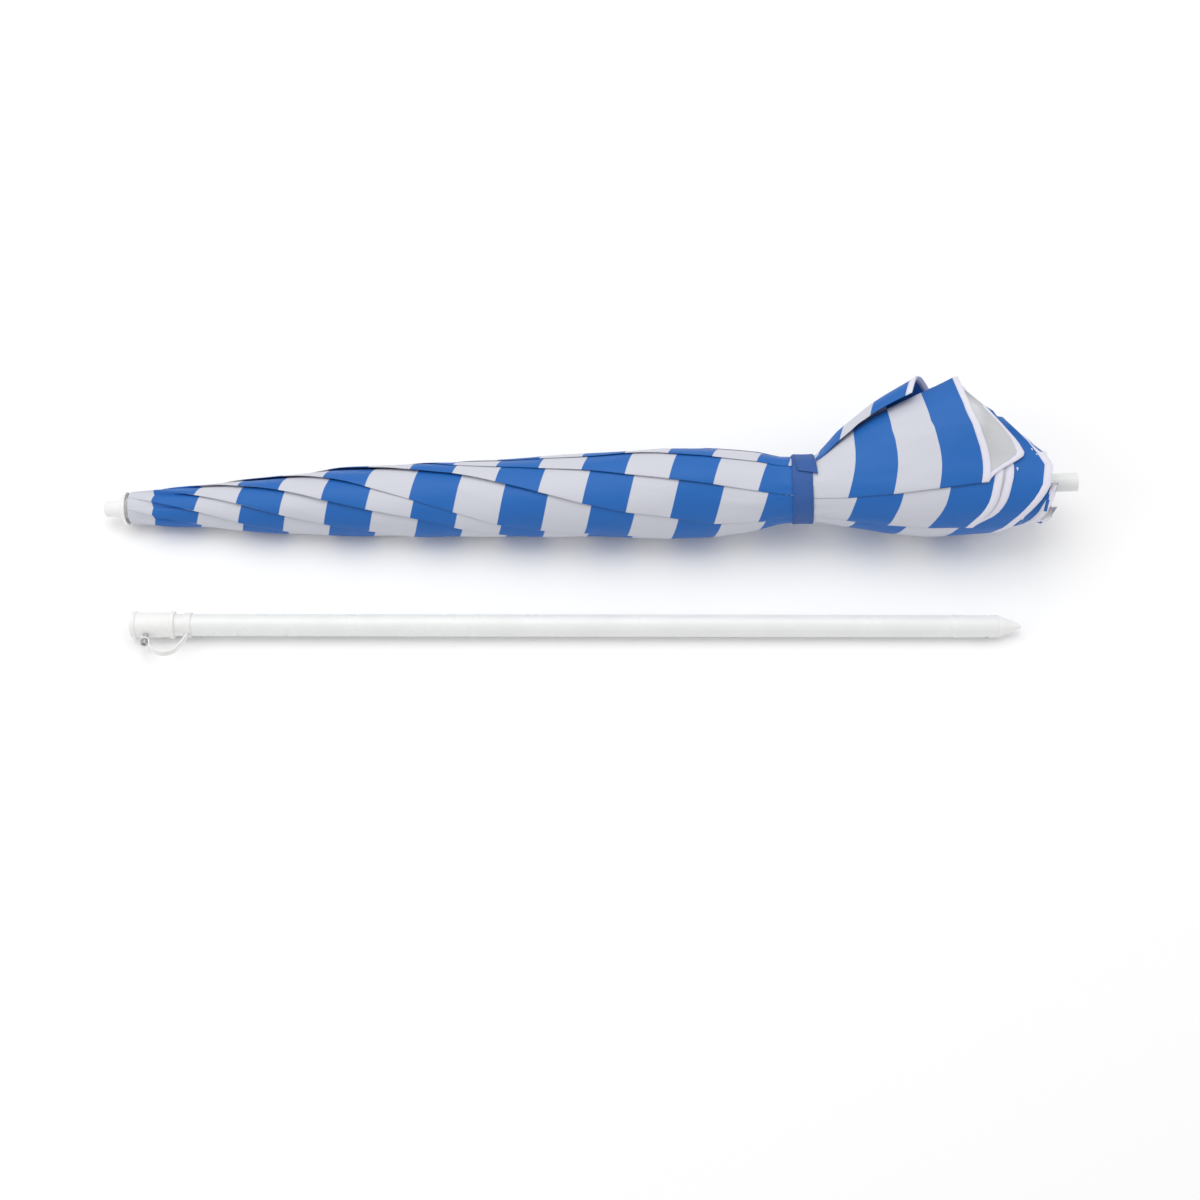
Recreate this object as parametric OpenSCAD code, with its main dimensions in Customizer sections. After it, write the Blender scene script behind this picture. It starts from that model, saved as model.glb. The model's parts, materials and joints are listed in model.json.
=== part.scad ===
// Beach umbrella: folded upper umbrella and its separate lower pole, lying on a floor.
// Millimetres, +Z up. The upper umbrella is drawn in its own pole frame
// (pole along +X, crown end at x = 0) and laid down by laid().

/* [Placement] */
// rise of the upper pole towards its bare end, degrees
pole_tilt = 2.9; // [0:0.1:6]
// height of the pole axis above the floor at the crown end
crown_height = 19.5; // [17:0.5:30]
// sideways distance between the two poles
pole_spacing = 131; // [110:1:180]
// where the lower pole's mouth lies along the umbrella
lower_start = 21.3; // [0:0.1:60]

/* [Upper pole] */
// outside radius of the upper pole
pole_r = 9.5; // [8:0.1:14]
// wall of the upper pole
pole_wall = 0.9; // [0.6:0.1:2]
// end of the upper pole along its axis
pole_end = 946; // [800:1:1200]
// length of the drawn-down end that enters the lower pole
spigot_length = 70; // [30:1:120]
// radius of that end
spigot_r = 9.2; // [8:0.05:14]

/* [Ribs and struts] */
// number of ribs
rib_count = 8; // [6:1:10]
// direction of the first rib round the pole, degrees
first_rib = 34; // [0:0.5:45]
// radius of a rib rod
rib_r = 1.6; // [1:0.1:3]
// rib length from its pivot to its end
rib_length = 900; // [700:1:1100]
// angle between a folded rib and the pole, degrees
rib_rest = 1; // [0.5:0.1:3]
// distance of the pivots from the pole axis
pivot_radius = 13.5; // [12:0.1:18]
// crown pivot plane along the pole
pivot_x = 17; // [12:0.5:25]
// strut pivot along the rib
strut_at = 400; // [300:1:500]
// strut pivot inward from the rib
strut_drop = 4.5; // [3:0.1:8]
// strut bar thickness
strut_t = 2; // [1.5:0.1:3]
// strut bar width
strut_w = 3.5; // [2.5:0.1:6]

/* [Crown and runner] */
// outside radius of the crown
crown_r = 15.6; // [14:0.1:20]
// radius of the wire the ribs hang on
wire_r = 0.9; // [0.6:0.1:1.5]
// bore radius of the runner
runner_bore = 9.75; // [9.6:0.05:11]
// radius of the runner's head
runner_r = 17.5; // [15:0.5:22]
// top cap radius
cap_r = 16.5; // [14:0.5:22]

/* [Canopy] */
// stations of the folded bundle: distance from the crown end, radius
bundle = [[0,16],[35,19.5],[75,21],[110,25],[155,30],[215,34.5],[325,36],[375,38.5],
  [435,41.5],[475,42.5],[540,45],[583,44],[633,38.5],[655,32.7],[697,32.7],[720,37],
  [760,43],[800,46],[850,42],[920,40]];
// how deep the folded flaps step, share of the radius
flap_step = 0.07; // [0:0.01:0.2]
// start of the tie strap along the pole
strap_at = 665; // [500:1:800]
// width of the tie strap
strap_width = 22; // [15:1:40]

/* [Lower pole] */
// outside radius of the lower tube
tube_r = 11; // [10:0.1:16]
// inside radius of the lower tube
tube_bore = 10; // [9:0.1:15]
// mouth of the collar to the tip of the spike
lower_length = 865; // [600:1:1200]
// bore radius at the collar's mouth
socket_r = 9.8; // [9.5:0.05:12]
// length of that bore
socket_length = 8; // [4:1:20]
// length of the collar
collar_length = 42; // [25:1:80]
// radius of the collar's flanges
flange_r = 13.5; // [12:0.1:20]
// length of the spike's cone
spike_length = 23.5; // [15:0.5:60]
// lock pin's distance from the mouth
pin_at = 15; // [10:0.5:30]
// direction of the lock pin above the horizontal, degrees
pin_lift = 10; // [0:1:45]

/* [Hidden] */
$fn = 64;

// the assembly's box, so that its bottom centre is the origin
shift = [-461.514, 32.665, 0];

pole_bore = pole_r - pole_wall;
// strut pivot in a rib's plane, and the strut's length and rest angle
b_x = pivot_x + strut_at*cos(rib_rest) + strut_drop*sin(rib_rest);
b_y = pivot_radius + strut_at*sin(rib_rest) - strut_drop*cos(rib_rest);
strut_length = sqrt(strut_at*strut_at + strut_drop*strut_drop);
strut_rest = asin((b_y - pivot_radius)/strut_length);
runner_x = b_x + strut_length*cos(strut_rest);
tip_r = 3;
// the lower pole rests on its collar's rear flange and on the tube's far end
lean = atan((flange_r - tube_r)/(lower_length - spike_length - collar_length));
lower_height = flange_r*cos(lean) + collar_length*sin(lean);

white = [0.93, 0.93, 0.92];
steel = [0.72, 0.73, 0.75];
blue = [0.03, 0.12, 0.42];
cloth = [0.88, 0.89, 0.92];
dark = [0.08, 0.08, 0.09];

module laid() {
  translate(shift) translate([0, 0, crown_height]) rotate([0, -pole_tilt, 0]) children();
}
module at_rib(k) {
  laid() rotate([first_rib + 360/rib_count*(k - 1), 0, 0]) children();
}
// turned so that the crown's rivet passes midway between two ribs
module between_ribs() {
  rotate([first_rib - 180/rib_count, 0, 0]) children();
}
module rib_line() {
  translate([pivot_x, pivot_radius, 0]) rotate([0, 0, rib_rest]) children();
}
module lower_laid() {
  translate(shift) translate([lower_start, -pole_spacing, lower_height])
    rotate([0, lean, 0]) children();
}
module rivet_line() {
  translate([lower_length - 34, 0, 0]) rotate([-70, 0, 0]) children();
}
// a cylinder along +X
module rod(x0, x1, r) {
  translate([x0, 0, 0]) rotate([0, 90, 0]) cylinder(h = x1 - x0, r = r);
}
// a profile of [x, radius] points turned round the X axis
module turned(points) {
  rotate([0, 90, 0]) rotate_extrude() polygon([for (p = points) [p[1], p[0]]]);
}

module upper_pole() {
  color(white) laid() difference() {
    union() {
      rod(3, pole_end - spigot_length - 4, pole_r);
      // the step down to the drawn end
      turned([[pole_end - spigot_length - 4, 0], [pole_end - spigot_length - 4, pole_r],
        [pole_end - spigot_length, spigot_r], [pole_end, spigot_r], [pole_end, 0]]);
    }
    rod(2, pole_end + 1, pole_bore);
    translate([313.5, 5, -2.2]) cube([23, 8, 4.4]);
    between_ribs() translate([23, 0, 0]) rotate([90, 0, 0]) cylinder(h = 40, r = 1.55, center = true);
  }
}

module finial() {
  color(white) laid() turned([[-22, 0], [-22, 5.2], [-21.4, 6.8], [-20, 7.9], [-17, 8.4],
    [-8, 8.9], [-3.2, 9.1], [-3.2, 8.5], [14, 8.5], [15, 7.6], [15, 0]]);
}

module top_cap() {
  color(white) laid() turned([[-3.1, 8.6], [-3.1, 12], [-2.2, 15.4], [-1, cap_r - 0.3],
    [1.8, cap_r], [1.8, cap_r - 1.2], [0, 14.6], [-0.9, 11.8], [-0.9, 10.2],
    [2.9, 10.2], [2.9, 8.6]]);
}

module crown() {
  color(white) laid() difference() {
    turned([[8, 9.55], [8, crown_r - 1], [9, crown_r], [27, crown_r], [27, 12],
      [31, 11.4], [31, 9.55]]);
    // groove for the wire, open towards the cap
    turned([[7, pivot_radius - wire_r - 0.05], [pivot_x + wire_r + 0.05, pivot_radius - wire_r - 0.05],
      [pivot_x + wire_r + 0.05, pivot_radius + wire_r + 0.05], [7, pivot_radius + wire_r + 0.05]]);
    for (k = [1:rib_count]) rotate([first_rib + 360/rib_count*(k - 1), 0, 0])
      translate([13.5, 10.8, -1.9]) cube([14.5, 10, 3.8]);
    between_ribs() translate([23, 0, 0]) rotate([90, 0, 0]) cylinder(h = 40, r = 1.55, center = true);
  }
}

module crown_wire() {
  color(steel) laid() translate([pivot_x, 0, 0]) rotate([0, 90, 0])
    rotate_extrude() translate([pivot_radius, 0]) circle(r = wire_r, $fn = 32);
}

module crown_rivet() {
  color(steel) laid() between_ribs() translate([23, 0, 0]) rotate([90, 0, 0]) {
    cylinder(h = 30.4, r = 1.5, center = true);
    translate([0, 0, 14.9]) cylinder(h = 0.9, r1 = 0.9, r2 = 0.6);
  }
}

module rib(k) {
  color(steel) at_rib(k) rib_line() difference() {
    union() {
      translate([0, 0, -1.2]) cylinder(h = 2.4, r = 2.4);
      rod(1.6, rib_length - 12, rib_r);
    }
    cylinder(h = 6, r = 1.15, center = true);
    // the flattened end beside the wire
    for (s = [-1, 1]) translate([-3, -3, s*2.2 - 1]) cube([6, 6, 2]);
  }
}

module rib_tip(k) {
  color(white) at_rib(k) rib_line() difference() {
    turned([[rib_length - 32, rib_r + 0.05], [rib_length - 32, 2.3], [rib_length - 12, 2.6],
      [rib_length - 8, tip_r - 0.2], [rib_length - 3, tip_r], [rib_length - 1, 2.6],
      [rib_length, 1.6], [rib_length, 0], [rib_length - 11.9, 0],
      [rib_length - 11.9, rib_r + 0.05]]);
  }
}

module rib_clip(k) {
  color(steel) at_rib(k) rib_line() difference() {
    union() {
      rod(strut_at - 6, strut_at + 6, 2.2);
      for (s = [-1, 1]) translate([strut_at, 0, s*1.75 - 0.55]) {
        translate([0, -strut_drop, 0]) cylinder(h = 1.1, r = 2.2);
        translate([-2.2, -strut_drop, 0]) cube([4.4, strut_drop - 1.8, 1.1]);
      }
    }
    rod(strut_at - 7, strut_at + 7, rib_r + 0.05);
    translate([strut_at, -strut_drop, 0]) cylinder(h = 8, r = 1, center = true);
  }
}

module strut_rivet(k) {
  color(steel) at_rib(k) rib_line() translate([strut_at, -strut_drop, 0]) {
    cylinder(h = 4.8, r = 0.95, center = true);
    for (s = [-1, 1]) translate([0, 0, s*2.65 - 0.3]) cylinder(h = 0.6, r = 1.8);
  }
}

module strut(k) {
  color(steel) at_rib(k) translate([b_x, b_y, 0]) rotate([0, 0, -strut_rest]) difference() {
    union() {
      translate([0, 0, -strut_t/2]) cylinder(h = strut_t, r = 2.1);
      translate([0, -strut_w/2, -strut_t/2]) cube([strut_length, strut_w, strut_t]);
      translate([strut_length, 0, -strut_t/2]) cylinder(h = strut_t, r = 2.3);
    }
    cylinder(h = 6, r = 1.1, center = true);
    translate([strut_length, 0, 0]) cylinder(h = 6, r = 1.1, center = true);
  }
}

module runner() {
  color(white) laid() translate([runner_x, 0, 0]) difference() {
    turned([[-10, runner_bore], [-10, runner_r - 1], [-9, runner_r], [6, runner_r],
      [8, runner_r - 2.5], [34, runner_r - 3], [34, runner_r - 1], [38, runner_r - 1.6],
      [38, runner_bore]]);
    for (k = [1:rib_count]) rotate([first_rib + 360/rib_count*(k - 1), 0, 0])
      translate([-12, 10.9, -1.4]) cube([52, 10, 2.8]);
  }
}

module runner_catch() {
  color(steel) laid() translate([0, 0, -2]) linear_extrude(height = 4)
    polygon([[316, 7.2], [315, 7.2], [314.2, 12], [315, 12.5], [316, 12.3], [337, 8.3],
      [366, 8.3], [366, 7.5], [336.5, 7.5], [315.7, 11.4]]);
}

// radius of the folded bundle at distance x and direction a, degrees round the pole
function wave(a) = let (p = (a/45) - floor(a/45)) p < 0.86 ? p/0.86 : (1 - p)/0.14;
function swirl(x, a) = wave(a - 0.33*x + 720);
function flat_zone(x) = max(0, min(1, (abs(x - 676) - 20)/40));
function near(a, b) = let (d = abs(((a - b + 540) % 360) - 180)) d;
function lobe(a, b, w) = exp(-pow(near(a, b)/w, 2));
function swell(x, m, w) = exp(-pow((x - m)/w, 2));
function grow(x) = max(0, min(1, (x - 700)/90));
function outer_r(x, a) = lookup(x, bundle)*(1 - flap_step*flat_zone(x)*(1 - swirl(x, a)))
  + grow(x)*(70*lobe(a, 30, 24)*swell(x, 805, 62) + 22*lobe(a, -65, 34)*swell(x, 830, 60)
  + 14*lobe(a, 120, 30)*swell(x, 800, 50));
function inner_r(x) = 16.2 + 0.0185*(x - 17);
function hem_x(a) = 903 + 10*cos(near(a, 40));
function on_floor(p) = [p[0], p[1],
  max(p[2], (0.0 - crown_height - p[0]*sin(pole_tilt))/cos(pole_tilt))];
function ring_point(x, r, a) = on_floor([x, r*cos(a), r*sin(a)]);

module canopy() {
  n = 40;
  m = 48;
  outer = [for (i = [0:m]) [for (j = [0:n - 1]) let (a = 360*j/n,
    x = 8 + (hem_x(a) - 8)*i/m) ring_point(x, outer_r(x, a), a)]];
  inner = [for (i = [m:-1:0]) if (i % 4 == 0 || i == m) [for (j = [0:n - 1]) let (a = 360*j/n,
    x = 8 + (hem_x(a) - 8)*i/m) ring_point(x, inner_r(x), a)]];
  rings = concat(
    [[for (j = [0:n - 1]) ring_point(4.4, 10.4, 360*j/n)],
     [for (j = [0:n - 1]) ring_point(4.4, 15.2, 360*j/n)]],
    outer, inner,
    [[for (j = [0:n - 1]) ring_point(7, 16.0, 360*j/n)],
     [for (j = [0:n - 1]) ring_point(7, 10.4, 360*j/n)]]);
  q = len(rings);
  color(blue) laid() polyhedron(
    points = [for (r = rings) for (p = r) p],
    faces = [for (i = [0:q - 1]) for (j = [0:n - 1]) for (h = [0, 1])
      let (i2 = (i + 1) % q, j2 = (j + 1) % n)
      h == 0 ? [i*n + j, i2*n + j, i2*n + j2] : [i*n + j, i2*n + j2, i*n + j2]],
    convexity = 10);
}

module tie_strap() {
  color(blue) laid() {
    turned([[strap_at, 33.3], [strap_at, 34.8], [strap_at + strap_width, 34.8],
      [strap_at + strap_width, 33.3]]);
  }
}

module lower_tube() {
  color(white) lower_laid() difference() {
    rod(socket_length + 0.1, lower_length - spike_length, tube_r);
    rod(socket_length - 1, lower_length - spike_length + 1, tube_bore);
    rotate([90 - pin_lift, 0, 0]) translate([pin_at, 0, 0]) cylinder(h = 20, r = 2.6);
    rivet_line() translate([0, 0, -30]) cylinder(h = 25, r = 1.65);
  }
}

module collar() {
  color(white) lower_laid() difference() {
    turned([[0, socket_r], [0, flange_r - 0.8], [0.8, flange_r], [4, flange_r],
      [5, flange_r - 1.2], [collar_length - 5, flange_r - 1.2], [collar_length - 4, flange_r],
      [collar_length - 0.8, flange_r], [collar_length, flange_r - 0.8],
      [collar_length, tube_r + 0.06], [socket_length, tube_r + 0.06],
      [socket_length, socket_r]]);
    rotate([90 - pin_lift, 0, 0]) translate([pin_at, 0, 0]) cylinder(h = 20, r = 2.6);
  }
}

module ground_spike() {
  color(white) lower_laid() difference() {
    turned([[lower_length, 0], [lower_length - 0.6, 1.6], [lower_length - spike_length + 1.2, tube_r],
      [lower_length - spike_length + 0.1, tube_r], [lower_length - spike_length + 0.1, tube_bore - 0.06],
      [lower_length - spike_length - 26, tube_bore - 0.06], [lower_length - spike_length - 27, 9],
      [lower_length - spike_length - 27, 0]]);
    rivet_line() translate([0, 0, -30]) cylinder(h = 25, r = 1.65);
  }
}

module spike_rivet() {
  color(steel) lower_laid() rivet_line() translate([0, 0, -11.4]) cylinder(h = 5.8, r = 1.6);
}

module lock_pin() {
  color(dark) lower_laid() rotate([90 - pin_lift, 0, 0]) translate([pin_at, 0, 0]) difference() {
    union() {
      translate([0, 0, -7]) cylinder(h = 28, r = 2.5);
      translate([0, 0, -8.2]) cylinder(h = 1.2, r1 = 1.3, r2 = 2.5);
      translate([0, 0, 20.9]) cylinder(h = 3.1, r = 3.6);
    }
    translate([0, 0, 22.8]) cylinder(h = 3, r = 1.9);
  }
}

// centre line of the tether in the plane of the pin: along the pole, out from its axis
function tether(t) = [pin_at + 4.2 + 36*t - 5*sin(360*t)*(1 - t) ,
  19.1 + (12.1 - 19.1)*t + 19.5*pow(sin(180*min(1, t*1.0)), 0.9)];
module pin_tether() {
  n = 36;
  up = [for (i = [0:n]) let (t = i/n, p = tether(t), d = tether(min(1, t + 0.004)) - tether(max(0, t - 0.004)),
    l = norm(d)) p + 0.6*[-d[1], d[0]]/l];
  dn = [for (i = [n:-1:0]) let (t = i/n, p = tether(t), d = tether(min(1, t + 0.004)) - tether(max(0, t - 0.004)),
    l = norm(d)) p - 0.6*[-d[1], d[0]]/l];
  color(dark) lower_laid() {
    difference() {
      union() {
        rotate([90 - pin_lift, 0, 0]) {
          // washer round the pin
          translate([pin_at, 0, 18.5]) cylinder(h = 1.2, r = 5);
          // the looped strap
          translate([0, 3.2, 0]) rotate([90, 0, 0]) linear_extrude(height = 6.4)
            polygon(concat(up, dn));
        }
        turned([[pin_at + 36.2, tube_r + 0.08], [pin_at + 36.2, tube_r + 1.3],
          [pin_at + 43, tube_r + 1.3], [pin_at + 43, tube_r + 0.08]]);
      }
      rotate([90 - pin_lift, 0, 0]) translate([pin_at, 0, 10]) cylinder(h = 20, r = 2.65);
    }
  }
}

upper_pole();
finial();
top_cap();
crown();
crown_wire();
crown_rivet();
runner();
runner_catch();
canopy();
tie_strap();
for (k = [1:8]) {
  rib(k);
  rib_tip(k);
  rib_clip(k);
  strut_rivet(k);
  strut(k);
}
lower_tube();
collar();
ground_spike();
spike_rivet();
lock_pin();
pin_tether();
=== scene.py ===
"""Looks of a folded striped beach umbrella and its loose lower pole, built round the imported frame."""
import json
import logging
import math
from dataclasses import dataclass, field
from enum import Enum

import bpy
import numpy as np
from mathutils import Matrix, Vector

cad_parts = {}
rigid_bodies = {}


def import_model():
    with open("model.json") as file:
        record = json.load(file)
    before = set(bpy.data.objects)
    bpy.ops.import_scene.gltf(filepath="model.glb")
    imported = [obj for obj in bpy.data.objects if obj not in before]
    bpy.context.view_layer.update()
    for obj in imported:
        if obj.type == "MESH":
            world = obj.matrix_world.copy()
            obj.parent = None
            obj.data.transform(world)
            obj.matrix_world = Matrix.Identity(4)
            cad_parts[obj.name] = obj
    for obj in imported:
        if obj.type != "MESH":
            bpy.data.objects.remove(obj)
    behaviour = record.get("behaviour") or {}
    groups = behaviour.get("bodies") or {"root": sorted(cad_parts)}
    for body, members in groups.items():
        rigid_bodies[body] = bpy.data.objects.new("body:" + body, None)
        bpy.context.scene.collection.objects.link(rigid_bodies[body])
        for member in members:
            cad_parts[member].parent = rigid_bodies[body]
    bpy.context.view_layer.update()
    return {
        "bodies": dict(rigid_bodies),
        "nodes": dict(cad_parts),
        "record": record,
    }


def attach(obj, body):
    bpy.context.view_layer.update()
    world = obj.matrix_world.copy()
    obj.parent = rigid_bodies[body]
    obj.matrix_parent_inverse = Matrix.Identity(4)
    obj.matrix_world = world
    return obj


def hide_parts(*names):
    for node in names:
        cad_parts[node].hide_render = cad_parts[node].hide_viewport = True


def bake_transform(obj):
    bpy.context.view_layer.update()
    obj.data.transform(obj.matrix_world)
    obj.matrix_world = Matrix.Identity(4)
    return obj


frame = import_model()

log = logging.getLogger("umbrella")
MM = 0.001
TRAVEL = 0.544262  # the runner's travel, in metres
OPEN_ANGLE = math.radians(72.0)  # between the pole and each open rib
PIVOT_OUT = 13.5  # the ribs' pivots: millimetres from the pole's axis
PIVOT_ALONG = 17.0  # and millimetres along it
Curve = tuple[tuple[float, float], ...]


class Side(Enum):
    """Which half of a folded gore a point is on."""

    OUTER = -1
    INNER = 1


@dataclass(frozen=True)
class Placement:
    """An axis system laid on a pole: along it, to its side and up from it."""

    origin: tuple[float, float, float]
    along: tuple[float, float, float]

    def matrix(self) -> np.ndarray:
        """Finds the pole's own axes.

        Returns:
            One axis in each row, in the world.
        """
        along = np.array(self.along)
        side = np.array((0.0, 1.0, 0.0))
        return np.array((along, side, np.cross(along, side)))

    def world(self, points: np.ndarray) -> np.ndarray:
        """Places points given along, across and above the pole.

        Args:
            points: an array of points in millimetres, three numbers each.

        Returns:
            The same points in the world, in metres.
        """
        return np.array(self.origin) + (points * MM) @ self.matrix()


def mount_placement(name: str, reach: float, turn: float) -> Placement:
    """Reads a pole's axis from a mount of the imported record.

    Args:
        name: the mount's name.
        reach: the mount's distance along the pole, in metres.
        turn: 1 where the mount's axis points along the pole, -1 where against it.

    Returns:
        The pole's placement, with its origin at the start of the pole.
    """
    mount = next(m for m in frame["record"]["mounts"] if m["name"] == name)
    along = np.array(mount["axis"]) * turn
    origin = np.array(mount["pos_m"]) - along * reach
    return Placement(tuple(origin), tuple(along))


UPPER = mount_placement("upper_pole_end", 0.911, 1.0)
LOWER = mount_placement("upper_pole_socket", 0.004, -1.0)


# ---------------------------------------------------------------- shader groups


def maths(tree: bpy.types.NodeTree, operation: str, first: bpy.types.NodeSocket,
          second: bpy.types.NodeSocket | float = 0.0) -> bpy.types.NodeSocket:
    """Adds one Math node.

    Args:
        tree: the node tree.
        operation: the node's operation.
        first: the socket it works on.
        second: a second socket, or a constant.

    Returns:
        The result's socket.
    """
    node = tree.nodes.new("ShaderNodeMath")
    node.operation = operation
    tree.links.new(first, node.inputs[0])
    if isinstance(second, bpy.types.NodeSocket):
        tree.links.new(second, node.inputs[1])
    else:
        node.inputs[1].default_value = second
    return node.outputs[0]


class ShaderGroups:
    """Node groups that more than one finish uses, each built once."""

    made: dict[str, bpy.types.NodeTree] = {}

    @classmethod
    def start(cls, name: str, inputs: dict[str, float], outputs: tuple[str, ...]) -> bpy.types.NodeTree:
        """Begins a group with named value inputs and outputs.

        Args:
            name: the group's name.
            inputs: each value input's name and default.
            outputs: the value outputs' names.

        Returns:
            The new node tree, with its input and output nodes.
        """
        tree = bpy.data.node_groups.new(name, "ShaderNodeTree")
        tree.interface.new_socket(name="Vector", in_out="INPUT", socket_type="NodeSocketVector")
        for key, value in inputs.items():
            made = tree.interface.new_socket(name=key, in_out="INPUT", socket_type="NodeSocketFloat")
            made.default_value = value
        for key in outputs:
            tree.interface.new_socket(name=key, in_out="OUTPUT", socket_type="NodeSocketFloat")
        tree.nodes.new("NodeGroupInput").name = "in"
        tree.nodes.new("NodeGroupOutput").name = "out"
        cls.made[name] = tree
        return tree

    @classmethod
    def handling(cls) -> bpy.types.NodeTree:
        """Faint smudges and pits of a moulded or painted surface.

        Returns:
            The group, which puts out Smudge and Pits.
        """
        if "handling_marks" in cls.made:
            return cls.made["handling_marks"]
        tree = cls.start("handling_marks", {"Scale": 60.0, "Pit Scale": 1400.0}, ("Smudge", "Pits"))
        n, into, out = tree.nodes, tree.nodes["in"], tree.nodes["out"]
        soft = n.new("ShaderNodeTexNoise")
        soft.inputs["Detail"].default_value = 5.0
        soft.inputs["Roughness"].default_value = 0.62
        fine = n.new("ShaderNodeTexNoise")
        fine.inputs["Detail"].default_value = 2.0
        spread = n.new("ShaderNodeMapRange")
        spread.inputs["From Min"].default_value = 0.35
        spread.inputs["From Max"].default_value = 0.68
        for node, key in ((soft, "Scale"), (fine, "Pit Scale")):
            tree.links.new(into.outputs["Vector"], node.inputs["Vector"])
            tree.links.new(into.outputs[key], node.inputs["Scale"])
        tree.links.new(soft.outputs["Fac"], spread.inputs["Value"])
        tree.links.new(spread.outputs["Result"], out.inputs["Smudge"])
        tree.links.new(fine.outputs["Fac"], out.inputs["Pits"])
        return tree

    @classmethod
    def weave(cls) -> bpy.types.NodeTree:
        """A plain weave on the cloth's own UV map, in metres.

        Returns:
            The group, which puts out Height and Slub.
        """
        if "plain_weave" in cls.made:
            return cls.made["plain_weave"]
        tree = cls.start("plain_weave", {"Threads": 9000.0}, ("Height", "Slub"))
        n, into, out = tree.nodes, tree.nodes["in"], tree.nodes["out"]
        apart = n.new("ShaderNodeSeparateXYZ")
        tree.links.new(into.outputs["Vector"], apart.inputs["Vector"])
        waves = [maths(tree, "SINE", maths(tree, "MULTIPLY", apart.outputs[axis], into.outputs["Threads"]))
                 for axis in ("X", "Y")]
        tree.links.new(maths(tree, "MULTIPLY", *waves), out.inputs["Height"])
        stretch = n.new("ShaderNodeMapping")
        stretch.inputs["Scale"].default_value = (1.0, 14.0, 1.0)
        slub = n.new("ShaderNodeTexNoise")
        slub.inputs["Scale"].default_value = 90.0
        slub.inputs["Detail"].default_value = 4.0
        tree.links.new(into.outputs["Vector"], stretch.inputs["Vector"])
        tree.links.new(stretch.outputs["Vector"], slub.inputs["Vector"])
        tree.links.new(slub.outputs["Fac"], out.inputs["Slub"])
        return tree


def new_material(name: str) -> tuple[bpy.types.Material, bpy.types.Node]:
    """Makes a node material.

    Args:
        name: its name.

    Returns:
        The material and its Principled shader.
    """
    made = bpy.data.materials.new(name)
    made.use_nodes = True
    return made, made.node_tree.nodes["Principled BSDF"]


def place_group(made: bpy.types.Material, tree: bpy.types.NodeTree, source: str,
                **values: float) -> bpy.types.Node:
    """Puts a group into a material, fed from Texture Coordinate.

    Args:
        made: the material.
        tree: the group.
        source: the Texture Coordinate output, Object or UV.
        values: the group's own values, with underscores for spaces.

    Returns:
        The group node.
    """
    nodes = made.node_tree.nodes
    node = nodes.new("ShaderNodeGroup")
    node.node_tree = tree
    where = nodes.new("ShaderNodeTexCoord")
    made.node_tree.links.new(where.outputs[source], node.inputs["Vector"])
    for key, value in values.items():
        node.inputs[key.replace("_", " ")].default_value = value
    return node


def ramp_between(made: bpy.types.Material, value: bpy.types.NodeSocket, low: tuple | bpy.types.NodeSocket,
                 high: tuple | bpy.types.NodeSocket) -> bpy.types.NodeSocket:
    """Mixes two colours by a value.

    Args:
        made: the material.
        value: the mask.
        low: colour where the mask is 0, or its socket.
        high: colour where the mask is 1, or its socket.

    Returns:
        The mixed colour socket.
    """
    mix = made.node_tree.nodes.new("ShaderNodeMix")
    mix.data_type = "RGBA"
    made.node_tree.links.new(value, mix.inputs[0])
    for socket, colour in ((mix.inputs[6], low), (mix.inputs[7], high)):
        if isinstance(colour, bpy.types.NodeSocket):
            made.node_tree.links.new(colour, socket)
        else:
            socket.default_value = (*colour, 1.0)
    return mix.outputs[2]


def spread_value(made: bpy.types.Material, value: bpy.types.NodeSocket, low: float,
                 high: float) -> bpy.types.NodeSocket:
    """Maps a 0 to 1 value to a range.

    Args:
        made: the material.
        value: the value.
        low: result at 0.
        high: result at 1.

    Returns:
        The mapped value's socket.
    """
    node = made.node_tree.nodes.new("ShaderNodeMapRange")
    node.inputs["To Min"].default_value = low
    node.inputs["To Max"].default_value = high
    made.node_tree.links.new(value, node.inputs["Value"])
    return node.outputs["Result"]


def bump(made: bpy.types.Material, height: bpy.types.NodeSocket, distance: float,
         strength: float) -> bpy.types.Node:
    """Feeds a height into the shader's normal.

    Args:
        made: the material.
        height: the height's socket.
        distance: how deep the relief is, in metres.
        strength: how strongly it shades.

    Returns:
        The Bump node.
    """
    nodes, links = made.node_tree.nodes, made.node_tree.links
    node = nodes.new("ShaderNodeBump")
    node.inputs["Distance"].default_value = distance
    node.inputs["Strength"].default_value = strength
    links.new(height, node.inputs["Height"])
    links.new(node.outputs["Normal"], nodes["Principled BSDF"].inputs["Normal"])
    return node


@dataclass(frozen=True)
class MouldedFinish:
    """A painted, coated or moulded surface with faint handling marks."""

    name: str
    colour: tuple[float, float, float]
    marked: tuple[float, float, float]
    rough: tuple[float, float]
    metal: float = 0.0
    pit_depth: float = 0.00002
    marks: float = 45.0
    pits: float = 1500.0
    coat: float = 0.0
    clear: float = 0.0

    def material(self) -> bpy.types.Material:
        """Builds the finish.

        Returns:
            The material.
        """
        made, shader = new_material(self.name)
        marks = place_group(made, ShaderGroups.handling(), "Object", Scale=self.marks, Pit_Scale=self.pits)
        links = made.node_tree.links
        smudge = marks.outputs["Smudge"]
        links.new(ramp_between(made, smudge, self.colour, self.marked), shader.inputs["Base Color"])
        links.new(spread_value(made, smudge, *self.rough), shader.inputs["Roughness"])
        shader.inputs["Metallic"].default_value = self.metal
        shader.inputs["Coat Weight"].default_value = self.coat
        shader.inputs["Subsurface Weight"].default_value = self.clear
        shader.inputs["Subsurface Radius"].default_value = (0.002, 0.002, 0.002)
        bump(made, marks.outputs["Pits"], self.pit_depth, 0.35)
        return made


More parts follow.
